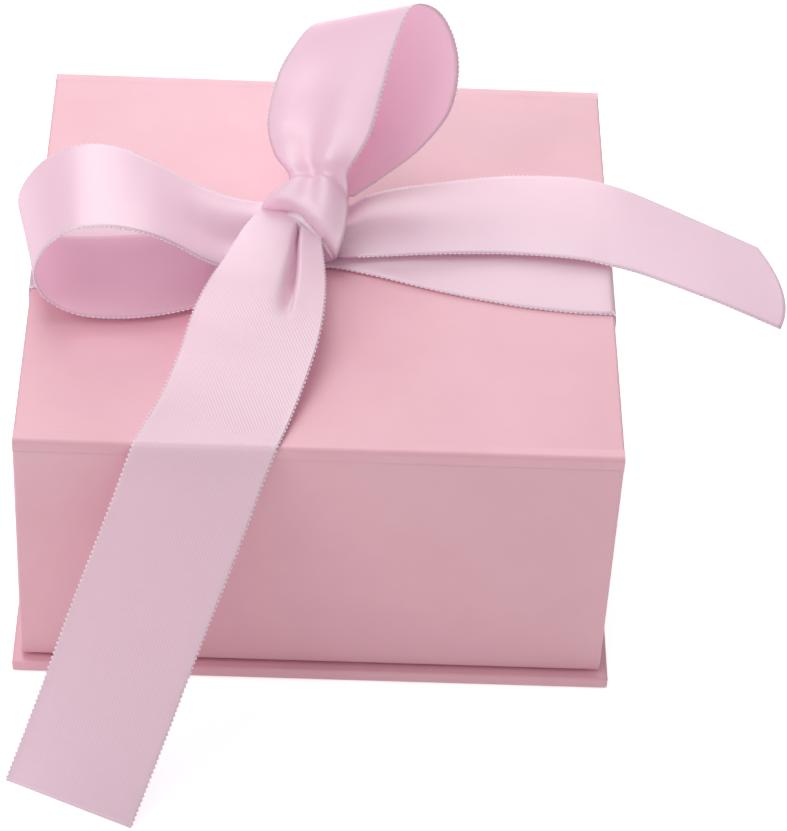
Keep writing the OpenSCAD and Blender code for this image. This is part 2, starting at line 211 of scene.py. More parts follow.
def mixed(material, factor, dark, light):
    """A colour between two, by the factor that comes out of another node's socket."""
    node = material.node_tree.nodes.new("ShaderNodeMix")
    node.data_type = "RGBA"
    node.inputs["A"].default_value = (*dark, 1)
    node.inputs["B"].default_value = (*light, 1)
    material.node_tree.links.new(factor, node.inputs["Factor"])
    return node.outputs["Result"]

def new_finish(name, **surface):
    """A material with one Principled surface, whose sockets are given by name."""
    material = bpy.data.materials.new(name)
    material.use_nodes = True
    material.node_tree.nodes.clear()
    skin = shader(material, "ShaderNodeBsdfPrincipled", **surface)
    out = shader(material, "ShaderNodeOutputMaterial")
    material.node_tree.links.new(skin.outputs[0], out.inputs[0])
    return material, skin

def noise(material, **sockets):
    """A noise that keeps to the piece, because it reads its Object coordinates."""
    place = shader(material, "ShaderNodeTexCoord")
    pattern = shader(material, "ShaderNodeTexNoise", **sockets)
    material.node_tree.links.new(place.outputs["Object"], pattern.inputs["Vector"])
    return pattern.outputs["Fac"]

def bumped(material, skin, height, depth, strength=0.6):
    """Raises the surface by a height pattern, whose full range is a depth in millimetres."""
    bump = shader(material, "ShaderNodeBump", Strength=strength, Distance=depth * MM)
    material.node_tree.links.new(height, bump.inputs["Height"])
    material.node_tree.links.new(bump.outputs[0], skin.inputs["Normal"])

def coloured(material, skin, pattern, low, high, dark, light):
    """Colours the surface from dark to light as the pattern goes from low to high."""
    level = shader(material, "ShaderNodeMapRange", From_Min=low, From_Max=high)
    link = material.node_tree.links.new
    link(pattern, level.inputs["Value"])
    link(mixed(material, level.outputs["Result"], dark, light), skin.inputs["Base Color"])

def weighted_sum(material, first, weight, second):
    """One pattern times a weight, plus another."""
    both = shader(material, "ShaderNodeMath")
    both.operation = "MULTIPLY_ADD"
    both.inputs[1].default_value = weight
    material.node_tree.links.new(first, both.inputs[0])
    material.node_tree.links.new(second, both.inputs[2])
    return both.outputs[0]

def paper_finish(name, dark, light, grain_depth):
    """Faintly clouded paper, in two colours, with a grain of this depth."""
    material, skin = new_finish(name, Roughness=0.5, IOR=1.62, Specular_IOR_Level=1.0,
                                Sheen_Weight=0.05, Sheen_Roughness=0.6)
    cloud = noise(material, Scale=90.0, Detail=4.0, Roughness=0.6)
    grain = noise(material, Scale=2600.0, Detail=3.0, Roughness=0.65)
    both = weighted_sum(material, grain, GRAIN_SHARE, cloud)
    coloured(material, skin, both, 0.45, 0.95, dark, light)
    bumped(material, skin, grain, grain_depth)
    return material

wrap_paper = paper_finish("wrap_paper", (0.730, 0.362, 0.435), (0.765, 0.398, 0.472), 0.03)
lining_paper = paper_finish("lining_paper", (0.715, 0.345, 0.418), (0.755, 0.385, 0.458), 0.05)
print("finishes:", wrap_paper.name, lining_paper.name)

# %% [markdown]
# ## What is inside the covers
# Greyboard shows only where the box is cut open, and the stays and magnets are hidden
# too, but each still has its real finish: speckled recycled board, fibrous paper tape
# and fine-turned plated steel. These pieces keep their CAD shapes, so only their
# materials are made here. One function makes all three, because each is one noise that
# moves the colour and the height together.

# %% Board, tape and steel finishes
FLECK_DEPTH = 0.05

def speckled_finish(name, dark, light, scale, roughness, metal=0.0):
    material, skin = new_finish(name, Roughness=roughness, Metallic=metal)
    fleck = noise(material, Scale=scale, Detail=6.0, Roughness=0.75)
    coloured(material, skin, fleck, 0.35, 0.65, dark, light)
    bumped(material, skin, fleck, FLECK_DEPTH)
    return material

greyboard = speckled_finish("greyboard", (0.26, 0.24, 0.21), (0.42, 0.40, 0.37), 1800, 0.9)
stay_tape = speckled_finish("stay_tape", (0.60, 0.52, 0.41), (0.74, 0.66, 0.54), 2500, 0.8)
plated_steel = speckled_finish("plated_steel", (0.52, 0.53, 0.55), (0.68, 0.69, 0.71), 3000,
                               0.32, metal=1.0)

# the finish for each of the frame's material slots that CAD nodes keep
SLOT_FINISHES = {"greyboard": greyboard, "tape": stay_tape, "magnet": plated_steel,
                 "wrap_paper": wrap_paper, "lining_paper": lining_paper}
dressed = 0
for part in frame["record"]["subparts"]:
    if part["material_slot"] in SLOT_FINISHES:
        node = frame["nodes"][part["node"]]
        node.data.materials.clear()
        node.data.materials.append(SLOT_FINISHES[part["material_slot"]])
        dressed += 1
print("CAD nodes with a finish:", dressed)

# %% [markdown]
# ## Tools for every piece
# Each piece starts as a bmesh, which is a mesh in memory that modelling tools work on.
# When its shape is done it becomes an object with a finish, it is hung on an empty named
# for the body that carries it, and the CAD nodes it takes the place of are hidden. Its place
# is in its mesh, and the object stays at the origin, so that a pattern on Object coordinates
# never slides.

# %% Tools for every piece
# coordinates nearer than this, in metres, count as the same
SAME = 1e-6
# edges that turn by more than this stay sharp in smooth shading
SHARP_TURN = math.radians(40)

def finished(name, mesh, looks, body, nodes):
    """An object of a bmesh, with its finishes, hung on its body's empty when it has one."""
    data = bpy.data.meshes.new(name)
    mesh.normal_update()
    mesh.to_mesh(data)
    mesh.free()
    for look in looks:
        data.materials.append(look)
    for face in data.polygons:
        face.use_smooth = True
    piece = bpy.data.objects.new(name, data)
    bpy.context.collection.objects.link(piece)
    if body:
        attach(piece, body)
    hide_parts(*nodes)
    reach = [[v.co[k] / MM for v in data.vertices] for k in range(3)]
    print(f"{name}: {[round(max(r) - min(r), 2) for r in reach]} mm,",
          len(data.polygons), "faces")
    return piece

def cube_between(low, high):
    """A cube stretched between two opposite corners, in millimetres."""
    mesh = bmesh.new()
    bmesh.ops.create_cube(mesh, size=1)
    low, high = Vector(low) * MM, Vector(high) * MM
    bmesh.ops.scale(mesh, vec=high - low, verts=mesh.verts)
    bmesh.ops.translate(mesh, vec=(low + high) / 2, verts=mesh.verts)
    mesh.normal_update()
    return mesh

def lies_at(verts, axis, level):
    """Whether all these vertices are at one level of an axis, given in millimetres."""
    return all(abs(v.co[axis] - level * MM) < SAME for v in verts)

def rounded(mesh, edges, radius, segments=4):
    """Rounds these edges with a bevel of that radius in millimetres."""
    bmesh.ops.bevel(mesh, geom=edges, offset=radius * MM, affect="EDGES",
                    segments=segments, profile=0.5, material=-1)

def keep_sharp(mesh):
    """Marks the edges that turn a lot as sharp, so that flat faces stay flat."""
    for edge in mesh.edges:
        if len(edge.link_faces) == 2 and edge.calc_face_angle(0) > SHARP_TURN:
            edge.smooth = False

print("edges stay sharp past", round(math.degrees(SHARP_TURN)), "degrees")

# %% [markdown]
# ## The covered panels
# Base, spine, lid and flap are boards with paper wrapped over them. The paper softens
# each free edge to about half a millimetre, and that small round catches the light as
# a thin pale line, so it is worth modelling. Each panel starts as a cube that is scaled
# to its size, and the edges that the paper goes round are bevelled. An end that a fold
# joins keeps its square edge, or a groove would show there, and it runs a hair past the
# board inside it, because two faces in one plane would flicker.

# %% Panels
EDGE_ROUND = 0.45
PAST_BOARD = 0.03
Y, Z = 1, 2

def frame_box(node):
    """A CAD node's lowest and highest corner, in millimetres."""
    return [[round(c / MM, 3) for c in corner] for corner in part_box(node)]

base_low, base_high = frame_box("base_cover_paper")
BASE_HALF, BOTTOM = base_high[0], base_low[2]
HALF, JOINT, TOP = frame_box("lid_cover_paper")[1]
FLAP_FOOT = frame_box("flap_cover_paper")[0][2]
# how far a board ends from the corner that the paper fold goes round
FOLD_LEG = HALF - JOINT
# a covered board, and a cover's thickness where a lining stands proud of it inside
BOARD = base_high[2] - BOTTOM
WRAPPED = 2.2

def covered_panel(name, low, high, joined, body, nodes):
    """A covered board. joined lists its ends that a fold joins, as (axis, side)."""
    ends = {-1: list(low), 1: list(high)}
    for axis, side in joined:
        ends[side][axis] += side * PAST_BOARD
    mesh = cube_between(ends[-1], ends[1])
    free = [edge for edge in mesh.edges
            if not any(lies_at(edge.verts, axis, ends[side][axis]) for axis, side in joined)]
    rounded(mesh, free, EDGE_ROUND)
    keep_sharp(mesh)
    return finished(name, mesh, [wrap_paper], body, nodes)

covered_panel("base_wrap", (-BASE_HALF, -BASE_HALF, BOTTOM),
              (BASE_HALF, JOINT, BOTTOM + BOARD),
              [(Y, 1)], "base", ["base_cover_paper"])
covered_panel("spine_wrap", (-HALF, HALF - WRAPPED, BOTTOM + FOLD_LEG),
              (HALF, HALF, TOP - FOLD_LEG),
              [(Z, 1), (Z, -1)], "base", ["spine_cover_paper"])
covered_panel("lid_wrap", (-HALF, -JOINT, TOP - WRAPPED), (HALF, JOINT, TOP),
              [(Y, 1), (Y, -1)], "lid", ["lid_cover_paper"])
covered_panel("flap_wrap", (-HALF, -HALF, FLAP_FOOT),
              (HALF, -HALF + WRAPPED, TOP - FOLD_LEG),
              [(Z, 1)], "flap", ["flap_cover_paper"])

# %% [markdown]
# ## The paper folds
# Where two boards meet, the paper alone goes round the corner in a small quarter round.
# The same fold is a hinge at the lid and at the flap. A strip is drawn with an edge
# that is extruded down one leg, spun through the quarter turn and extruded along the
# other leg. Its two open ends are then pulled in towards the inside of the corner, as
# the paper is turned in there. Last, the strip gets the thickness of both its papers.

# %% The fold's strip
FOLD_ROUND, FOLD_STEPS = 0.8, 10
FOLD_PAPER = 0.3
# each leg is pulled out in this many rows, so that it can bend
LEG_ROWS = 3
# how much of the way to the inside corner the turned-in ends reach
TURNED_END = 0.75
# points of the strip nearer than this are merged
STRIP_MERGE = 0.001

def only(kind, geometry):
    """The vertices, the edges or the faces out of what an operator made."""
    return [g for g in geometry if isinstance(g, kind)]

def pulled(mesh, edges, move):
    """Extrudes these edges by a move in metres, and gives the row of edges at its end."""
    made = bmesh.ops.extrude_edge_only(mesh, edges=edges)["geom"]
    bmesh.ops.translate(mesh, vec=move, verts=only(bmesh.types.BMVert, made))
    return [e for e in only(bmesh.types.BMEdge, made) if all(v in made for v in e.verts)]

def fold_strip(side, up):
    """The bent strip. side is 1 at the back, and up is -1 for a corner that looks down."""
    mesh = bmesh.new()
    leg = (FOLD_LEG - FOLD_ROUND) * MM / LEG_ROWS
    corner = Vector((0, side * HALF * MM, (TOP if up > 0 else BOTTOM) * MM))
    start = corner - Vector((0, 0, up * FOLD_LEG * MM))
    centre = corner - Vector((0, side, up)) * (FOLD_ROUND * MM)
    ends = [mesh.verts.new(start + Vector((x * MM, 0, 0))) for x in (-HALF, HALF)]
    row = [mesh.edges.new(ends)]
    for step in range(LEG_ROWS):
        row = pulled(mesh, row, Vector((0, 0, up * leg)))
    spun = bmesh.ops.spin(mesh, geom=row + [v for e in row for v in e.verts], cent=centre,
                          axis=(1, 0, 0), angle=side * up * math.pi / 2, steps=FOLD_STEPS,
                          use_duplicate=False)["geom_last"]
    row = only(bmesh.types.BMEdge, spun)
    for step in range(LEG_ROWS):
        row = pulled(mesh, row, Vector((0, -side * leg, 0)))
    bmesh.ops.remove_doubles(mesh, verts=mesh.verts, dist=STRIP_MERGE * MM)
    ends = [e for e in mesh.edges if abs(e.verts[0].co.x - e.verts[1].co.x) < SAME]
    turned = bmesh.ops.extrude_edge_only(mesh, edges=ends)["geom"]
    for vert in only(bmesh.types.BMVert, turned):
        inside = Vector((vert.co.x, side * JOINT * MM, start.z))
        vert.co = vert.co.lerp(inside, TURNED_END)
    bmesh.ops.recalc_face_normals(mesh, faces=mesh.faces)
    mesh.faces.ensure_lookup_table()
    if mesh.faces[0].normal.dot(corner - centre) < 0:
        bmesh.ops.reverse_faces(mesh, faces=mesh.faces)
    return mesh

def paper_fold(name, side, up, nodes):
    """The strip with the papers' thickness, as a piece that isn't on a body."""
    mesh = fold_strip(side, up)
    bmesh.ops.solidify(mesh, geom=mesh.faces, thickness=FOLD_PAPER * MM)
    keep_sharp(mesh)
    return finished(name, mesh, [wrap_paper], None, nodes)

print("a fold is", FOLD_LEG, "mm along each leg")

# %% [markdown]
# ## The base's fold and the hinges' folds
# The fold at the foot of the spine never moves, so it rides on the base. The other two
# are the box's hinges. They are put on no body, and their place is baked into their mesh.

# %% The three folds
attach(paper_fold("base_fold", 1, -1, ["base_fold_paper"]), "base")
lid_fold = paper_fold("lid_fold", 1, 1, ["lid_hinge_paper"])
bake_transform(lid_fold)
flap_fold = paper_fold("flap_fold", -1, 1, ["flap_hinge_paper"])
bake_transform(flap_fold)

# %% [markdown]
# ## The tray
# The tray is what the gift lies in. Its wrap goes over the rim and about 15 mm down
# inside. It is a cube whose top face is inset by the wall's thickness and pushed down,
# and only then rounded, so that the outer corners and the rim are soft and the inner
# corners stay sharp, as folded paper is.

# %% Tray
tray_low, tray_high = frame_box("tray_wrap_paper")
TRAY_FRONT, TRAY_FOOT = tray_low[1:]
TRAY_X, TRAY_BACK, RIM = tray_high
TRAY_WALL = 2.4
TRAY_FLOOR = TRAY_FOOT + BOARD
RIM_ROUND = 0.3
# the wrap's own floor lies this far under the top of the lining
UNDER_LINING = 0.1
# corners of the rim that the two rounds leave closer than this are merged
RIM_MERGE = 0.1

def top_face(mesh):
    """The highest face that looks up."""
    return max((f for f in mesh.faces if f.normal.z > 0.9),
               key=lambda f: f.calc_center_median().z)

def is_outer_upright(edge):
    """Whether this is one of the four upright edges at the tray's outer corners."""
    low, high = (v.co for v in edge.verts)
    return abs(low.z - high.z) > SAME and abs(abs(low.x) - TRAY_X * MM) < SAME

mesh = cube_between((-TRAY_X, TRAY_FRONT, TRAY_FOOT), (TRAY_X, TRAY_BACK, RIM))
mouth = top_face(mesh)
bmesh.ops.inset_region(mesh, faces=[mouth], thickness=TRAY_WALL * MM, use_even_offset=True)
pit = bmesh.ops.extrude_discrete_faces(mesh, faces=[mouth])["faces"][0]
bmesh.ops.translate(mesh, vec=(0, 0, (TRAY_FLOOR - UNDER_LINING - RIM) * MM), verts=pit.verts)
rounded(mesh, [e for e in mesh.edges if is_outer_upright(e)], EDGE_ROUND)
rounded(mesh, [e for e in mesh.edges
               if lies_at(e.verts, Z, RIM) and e.calc_face_angle(0) > SHARP_TURN], RIM_ROUND, 3)
bmesh.ops.remove_doubles(mesh, dist=RIM_MERGE * MM,
                         verts=[v for v in mesh.verts if lies_at([v], Z, RIM)])
keep_sharp(mesh)
finished("tray_wrap", mesh, [wrap_paper], "base", ["tray_wrap_paper"])

# %% [markdown]
# ## The tray's lining
# A lining paper covers the floor and the walls up to the turned-in wrap, and laps over
# its edge, so the paper's real step shows inside. It is an open box of thin paper: a
# cube without its top face, turned to look inwards and given a thickness.

# %% Tray lining
TURNED_IN = 15.15
LINING_PAPER = 0.15
# the lining is pressed this far into the walls, and laps this far over the wrap's edge
LINING_BITE, LINING_LAP = 0.02, 0.6
LINING_X = TRAY_X - TRAY_WALL + LINING_BITE

mesh = cube_between(
    (-LINING_X, TRAY_FRONT + TRAY_WALL - LINING_BITE, TRAY_FLOOR - LINING_PAPER),
    (LINING_X, TRAY_BACK - TRAY_WALL + LINING_BITE, RIM - TURNED_IN + LINING_LAP))
bmesh.ops.delete(mesh, geom=[top_face(mesh)], context="FACES_ONLY")
bmesh.ops.reverse_faces(mesh, faces=mesh.faces)
bmesh.ops.solidify(mesh, geom=mesh.faces, thickness=-LINING_PAPER * MM)
keep_sharp(mesh)
finished("tray_lining", mesh, [lining_paper], "base", ["tray_liner_paper"])

# %% [markdown]
# ## The satin's finish
# Satin ribbon shows long floating threads on its face, so it is smooth and shines more
# along one direction than across it. Its weave is a very fine slanting rib. The pattern
# has to follow the ribbon round its loops, so it reads the ribbon's own UV map, which
# is laid out in metres: U across the ribbon and V along it. Its other face is duller,
# and because it lines the loops' hollows it is painted a deeper pink as their shade, so
# it gets a finish of its own from the same function. The cloth is thin, and half of the
# light that reaches it goes on through it, which is why a loop glows on its shaded side.

# %% Satin
RIBBON_UV = "ribbon_uv"
RIB_PITCH, RIB_SLANT, RIB_SHARE = 0.5, 38, 0.7
# a wave texture of scale 1 repeats after this many metres
WAVE_REPEAT = 0.31416
# the threads' noise is this fine across the ribbon, and drawn out along it
THREAD_ACROSS, THREAD_ALONG = 4200, 260
WEAVE_DEPTH = 0.05
SEE_THROUGH = 0.5

def ribbon_map(material, across, along, turn=0.0):
    """The ribbon's own UV map, stretched across and along it, and turned."""
    uv = shader(material, "ShaderNodeUVMap")
    uv.uv_map = RIBBON_UV
    mapping = shader(material, "ShaderNodeMapping", Rotation=(0, 0, math.radians(turn)),
                     Scale=(across, along, 1))
    material.node_tree.links.new(uv.outputs[0], mapping.inputs["Vector"])
    return mapping.outputs[0]

def let_light_through(material, skin, glow):
    """Sends part of the light that reaches the cloth on through it, in this colour."""
    through = shader(material, "ShaderNodeBsdfTranslucent", Color=(*glow, 1))
    cloth = shader(material, "ShaderNodeMixShader", Fac=SEE_THROUGH)
    out = next(n for n in material.node_tree.nodes if n.type == "OUTPUT_MATERIAL")
    link = material.node_tree.links.new
    link(skin.outputs[0], cloth.inputs[1])
    link(through.outputs[0], cloth.inputs[2])
    link(cloth.outputs[0], out.inputs[0])

def shine_along_ribbon(material, skin):
    """Points the long side of the highlight along the ribbon."""
    tangent = shader(material, "ShaderNodeTangent")
    tangent.direction_type = "UV_MAP"
    tangent.uv_map = RIBBON_UV
    material.node_tree.links.new(tangent.outputs[0], skin.inputs["Tangent"])

def satin_finish(name, dark, light, glow, **gloss):
    """Slanting ribs and long threads, in two colours, with light coming through."""
    material, skin = new_finish(name, Specular_IOR_Level=1.0, Anisotropic=0.4,
                                Sheen_Weight=0.2, Sheen_Roughness=0.45, **gloss)
    link = material.node_tree.links.new
    let_light_through(material, skin, glow)
    rib = shader(material, "ShaderNodeTexWave", Scale=WAVE_REPEAT / (RIB_PITCH * MM),
                 Distortion=0.6, Detail=1.0, Detail_Scale=1.5)
    link(ribbon_map(material, 1, 1, RIB_SLANT), rib.inputs["Vector"])
    thread = shader(material, "ShaderNodeTexNoise", Scale=1.0, Detail=3.0, Roughness=0.6)
    link(ribbon_map(material, THREAD_ACROSS, THREAD_ALONG), thread.inputs["Vector"])
    weave = weighted_sum(material, rib.outputs["Fac"], RIB_SHARE, thread.outputs["Fac"])
    coloured(material, skin, weave, 0.3, 1.3, dark, light)
    bumped(material, skin, weave, WEAVE_DEPTH, 0.55)
    shine_along_ribbon(material, skin)
    return material

satin = satin_finish("satin", (0.97, 0.79, 0.89), (1.0, 0.90, 0.97), (1.0, 0.84, 0.93),
                     Roughness=0.46, IOR=2.4)
# the reverse face lines the loops' hollows, so its pink and its glow are painted deeper as
# painted shade
satin_reverse_painted_shade = satin_finish("satin_reverse_painted_shade", (0.98, 0.68, 0.80), (1.0, 0.76, 0.87),
                             (1.0, 0.78, 0.88), Roughness=0.6, IOR=1.5)
print("finishes:", satin.name, satin_reverse_painted_shade.name)

# %% [markdown]
# ## The edge thread's finish
# The thread along both edges is paler than the cloth and twisted, so it catches the
# light in tiny dashes. One fine noise stands for the twist. It isn't see-through,
# because a thread is thick for its size.

# %% Edge thread
TWIST_DEPTH = 0.04

def thread_finish(name, dark, light):
    material, skin = new_finish(name, Roughness=0.5, IOR=1.7, Specular_IOR_Level=1.0,
                                Sheen_Weight=0.1, Sheen_Roughness=0.3)
    twist = noise(material, Scale=5200.0, Detail=2.0)
    material.node_tree.links.new(mixed(material, twist, dark, light),
                                 skin.inputs["Base Color"])
    bumped(material, skin, twist, TWIST_DEPTH)
    return material

edge_thread = thread_finish("edge_thread", (1.0, 0.81, 0.89), (1.0, 0.89, 0.95))
print("finish:", edge_thread.name)

# %% [markdown]
# ## How a stretch of ribbon is made
# Ribbon bends easily along its length and hardly at all across it, so a stretch of it
# is best drawn by stations: where its middle is, which way its width points, how wide
# it is gathered, how far it bulges and how deep it is pleated. A smooth curve runs
# through the stations. A flat grid is then moved onto that curve row by row, so the
# cloth keeps even squares, and its UV map keeps its real length and width. A crease or
# a tuck is a height that is added to the face, and a shift moves each finished point.

# %% Ribbon curve
RIBBON = 22.0
RIBBON_THICK = 0.26
# rows of the smooth curve from one station to the next
CURVE_ROWS = 16

def curve_rows(stations):
    """Catmull-Rom rows through the stations, and how far along the ribbon each is."""
    first = [2 * a - b for a, b in zip(stations[0], stations[1])]
    final = [2 * a - b for a, b in zip(stations[-1], stations[-2])]
    points = [first, *stations, final]
    rows, run = [], [0.0]
    for i in range(1, len(points) - 2):
        for k in range(CURVE_ROWS + (i == len(points) - 3)):
            t = k / CURVE_ROWS
            rows.append([0.5 * (2 * b + (c - a) * t + (2 * a - 5 * b + 4 * c - d) * t * t
                                + (3 * b - a - 3 * c + d) * t ** 3)
                         for a, b, c, d in zip(*points[i - 1:i + 3])])
    for a, b in zip(rows, rows[1:]):
        run.append(run[-1] + math.dist(a[:3], b[:3]))
    return rows, run

class Stretch:
    """A stretch of ribbon, whose points are asked for by distance along and share across.

    A station is up to nine numbers: the middle's place over the lid, the way the width
    points, the share of the full width, the bulge and the pleats' depth. Numbers that
    are left out are 0. pleats counts the waves across, lean moves them sideways, and
    round_end is how far the edges stop before the middle. relief gives a height for
    along and across, and shift moves a point in millimetres.
    """
    def __init__(self, stations, pleats=2.0, lean=0.0, round_end=0.0, relief=None, shift=None):
        self.rows, self.run = curve_rows([list(s) + [0] * (9 - len(s)) for s in stations])
        self.length = self.run[-1]
        self.pleats, self.lean, self.round_end = pleats, lean, round_end
        self.relief, self.shift = relief, shift
        self.last = 0

    def row(self, along):
        """The station, the width's way and the face's normal at a distance along."""
        i = self.last
        while i < len(self.run) - 2 and self.run[i + 1] < along:
            i += 1
        while i > 0 and self.run[i] > along:
            i -= 1
        self.last = i
        t = (along - self.run[i]) / (self.run[i + 1] - self.run[i])
        station = [a + (b - a) * t for a, b in zip(self.rows[i], self.rows[i + 1])]
        before, after = self.rows[max(i - 1, 0)], self.rows[min(i + 2, len(self.rows) - 1)]
        ahead = Vector(after[:3]) - Vector(before[:3])
        wide = Vector(station[3:6]).normalized()
        return station, wide, ahead.cross(wide).normalized()

    def point(self, along, across, out=0.0):
        """The point this far along, at -1 to 1 across, and out past the edge, in mm."""
        along -= self.round_end * across * across * (along / self.length) ** 4
        station, wide, normal = self.row(min(max(along, 0), self.length))
        share, bulge, pleat = station[6:9]
        wave = math.cos(math.pi * (self.pleats * across + self.lean))
        height = bulge * (1 - across * across) + pleat * (wave - 1) / 2
        if self.relief:
            height += self.relief(along, across)
        side = across * share * RIBBON / 2 + (out if across > 0 else -out)
        spot = Vector(station[:3]) + side * wide + height * normal + Vector((0, 0, TOP))
        return (self.shift(spot) if self.shift else spot) * MM

def ridge(distance, before, after):
    """A smooth ridge from 0 to 1, with one width before its crest and one after it."""
    return math.exp(-(distance / (before if distance < 0 else after)) ** 2)

print("ribbon:", RIBBON, "mm wide and", RIBBON_THICK, "mm thick")

# %% [markdown]
# ## The woven edge
# Both edges of this ribbon carry a row of tiny thread loops, about seven in six
# millimetres. They are too small to model one by one, but a thread that weaves in and
# out along the edge gives the same fine, pale, toothed line. It is drawn as a curve
# with a round bevel, because a curve turns a path into a tube in one step.

# %% Edge threads
LOOP_PITCH = 0.85
THREAD_RADIUS = 0.13
# the thread's swing in and out over one loop, its reach, and how far in it is sewn
LOOP_SWING = (0.5, 1, 1, 0.5, -1, -1)
LOOP_REACH, LOOP_SEWN_IN = 0.42, 0.3

def shown_mesh(thing):
    """The mesh that an object shows after its bevel or modifiers. The object goes."""
    bpy.context.collection.objects.link(thing)
    depsgraph = bpy.context.evaluated_depsgraph_get()
    made = bpy.data.meshes.new_from_object(thing.evaluated_get(depsgraph))
    bpy.data.objects.remove(thing)
    return made

def tubes(strands, radius, rounding, capped):
    """Tubes along strands of (point, share of the radius), as one mesh."""
    line = bpy.data.curves.new("tubes", "CURVE")
    line.dimensions = "3D"
    line.bevel_depth = radius * MM
    line.bevel_resolution = rounding
    line.use_fill_caps = capped
    for strand in strands:
        spline = line.splines.new("POLY")
        spline.points.add(len(strand) - 1)
        for point, (spot, share) in zip(spline.points, strand):
            point.co = (*spot, 1)
            point.radius = share
    made = shown_mesh(bpy.data.objects.new("tubes", line))
    bpy.data.curves.remove(line)
    return made

def edge_threads(stretch, bare):
    """Both edges' threads as one mesh. The first bare millimetres have none."""
    length = stretch.length - bare
    count = int(length / LOOP_PITCH) * len(LOOP_SWING)
    swings = [LOOP_SWING[k % len(LOOP_SWING)] * LOOP_REACH - LOOP_SEWN_IN
              for k in range(count + 1)]
    strands = [[(stretch.point(bare + length * k / count, side, out=swing), 1)
                for k, swing in enumerate(swings)] for side in (-1, 1)]
    return tubes(strands, THREAD_RADIUS, 0, True)

print("thread loops:", LOOP_PITCH, "mm apart")

# %% [markdown]
# ## The cloth of a ribbon piece
# A piece of ribbon is the grid on its curve, made as thick as the cloth with Solidify.
# That modifier can give the second face another material slot, so one face is glossy
# and the other dull. The edge threads join the cloth in one mesh.

# %% Ribbon pieces
# the order of the finishes in a piece's material slots
SATIN_SLOT, THREAD_SLOT, REVERSE_SLOT = 0, 1, 2
RIBBON_LOOKS = [satin, edge_thread, satin_reverse_painted_shade]

def ribbon_cloth(stretch, cell, columns, shiny):
    """The thick cloth as a mesh, in rows of squares about a cell long."""
    mesh = bmesh.new()
    bmesh.ops.create_grid(mesh, x_segments=columns, y_segments=round(stretch.length / cell),
                          size=1, calc_uvs=True)
    uv = mesh.loops.layers.uv.verify()
    spots = {v: (v.co.x, (v.co.y + 1) / 2 * stretch.length) for v in mesh.verts}
    for face in mesh.faces:
        for loop in face.loops:
            across, along = spots[loop.vert]
            loop[uv].uv = (across * RIBBON / 2 * MM, along * MM)
    for vert in sorted(mesh.verts, key=lambda v: spots[v][1]):
        across, along = spots[vert]
        vert.co = stretch.point(along, across)
    mesh.normal_update()
    data = bpy.data.meshes.new("cloth")
    mesh.to_mesh(data)
    mesh.free()
    data.uv_layers[0].name = RIBBON_UV
    for look in RIBBON_LOOKS:
        data.materials.append(look)
    for face in data.polygons:
        face.material_index = REVERSE_SLOT if shiny > 0 else SATIN_SLOT
    sheet = bpy.data.objects.new("cloth", data)
    thickness = sheet.modifiers.new("thickness", "SOLIDIFY")
    thickness.thickness = RIBBON_THICK * MM
    thickness.offset = 0
    thickness.material_offset = -REVERSE_SLOT if shiny > 0 else REVERSE_SLOT
    thick = shown_mesh(sheet)
    bpy.data.meshes.remove(data)
    return thick

def ribbon_piece(name, stretch, body, nodes, cell=0.8, columns=26,
                 shiny=-1, bare=0.0):
    """Cloth and threads as one piece. shiny is 1 where the normal's side is glossy."""
    mesh = bmesh.new()
    cloth = ribbon_cloth(stretch, cell, columns, shiny)
    threads = edge_threads(stretch, bare)
    mesh.from_mesh(cloth)
    cloth_faces = len(mesh.faces)
    mesh.from_mesh(threads)
    mesh.faces.ensure_lookup_table()
    for face in mesh.faces[cloth_faces:]:
        face.material_index = THREAD_SLOT
    for used in (cloth, threads):
        bpy.data.meshes.remove(used)
    piece = finished(name, mesh, RIBBON_LOOKS, body, nodes)
    print(f"{name}: {stretch.length:.1f} mm of ribbon")
    return piece

print("a ribbon piece has", len(RIBBON_LOOKS), "finishes")

# %% [markdown]
# ## The ribbon round the box
# The ribbon passes under the base, up both sides and across the lid. The part under the
# base and up the sides stays with the base when the lid opens, so it is one stretch,
# and the part across the lid is another. They meet at the lid's lower edge. The girdle
# is pulled tight, so it follows the base's edges closely and has no folds.

# %% Girdle
SIDE_X, LEG_TOP, UNDER_BASE = 50.24, -2.45, -53.18
LEFT_Y, RIGHT_Y = -0.8, -2.8
# one strap, from the lid's edge down and round the base's edge, as (aside, up)
STRAP = [(SIDE_X, LEG_TOP), (50.60, -15.0), (51.10, -33.0), (51.68, -50.2), (51.73, -51.8),
         (51.60, -52.9), (51.00, -53.17)]
# the run under the base, as (along x, along y, tilt)
UNDER = [(-48, -0.9, 0), (-16, -1.5, 0.02), (16, -2.1, 0.02), (48, -2.7, 0)]
GIRDLE = ([[-x, LEFT_Y, z, 0, 1, 0, 1] for x, z in STRAP]
          + [[x, y, UNDER_BASE, tilt, 1, 0, 1] for x, y, tilt in UNDER]
          + [[x, RIGHT_Y, z, 0, 1, 0, 1] for x, z in reversed(STRAP)])
ribbon_piece("ribbon_girdle", Stretch(GIRDLE), "base",
             ["ribbon_left_strap", "ribbon_right_strap", "ribbon_under_strap"])

# %% [markdown]
# ## The band across the lid
# The band lies flat near the lid's sides. Towards the middle it is gathered into a
# narrow, pleated strip, because the knot is tied round it. Its two ends turn down over
# the lid's edges and meet the girdle's straps, so they are made alike by a loop.

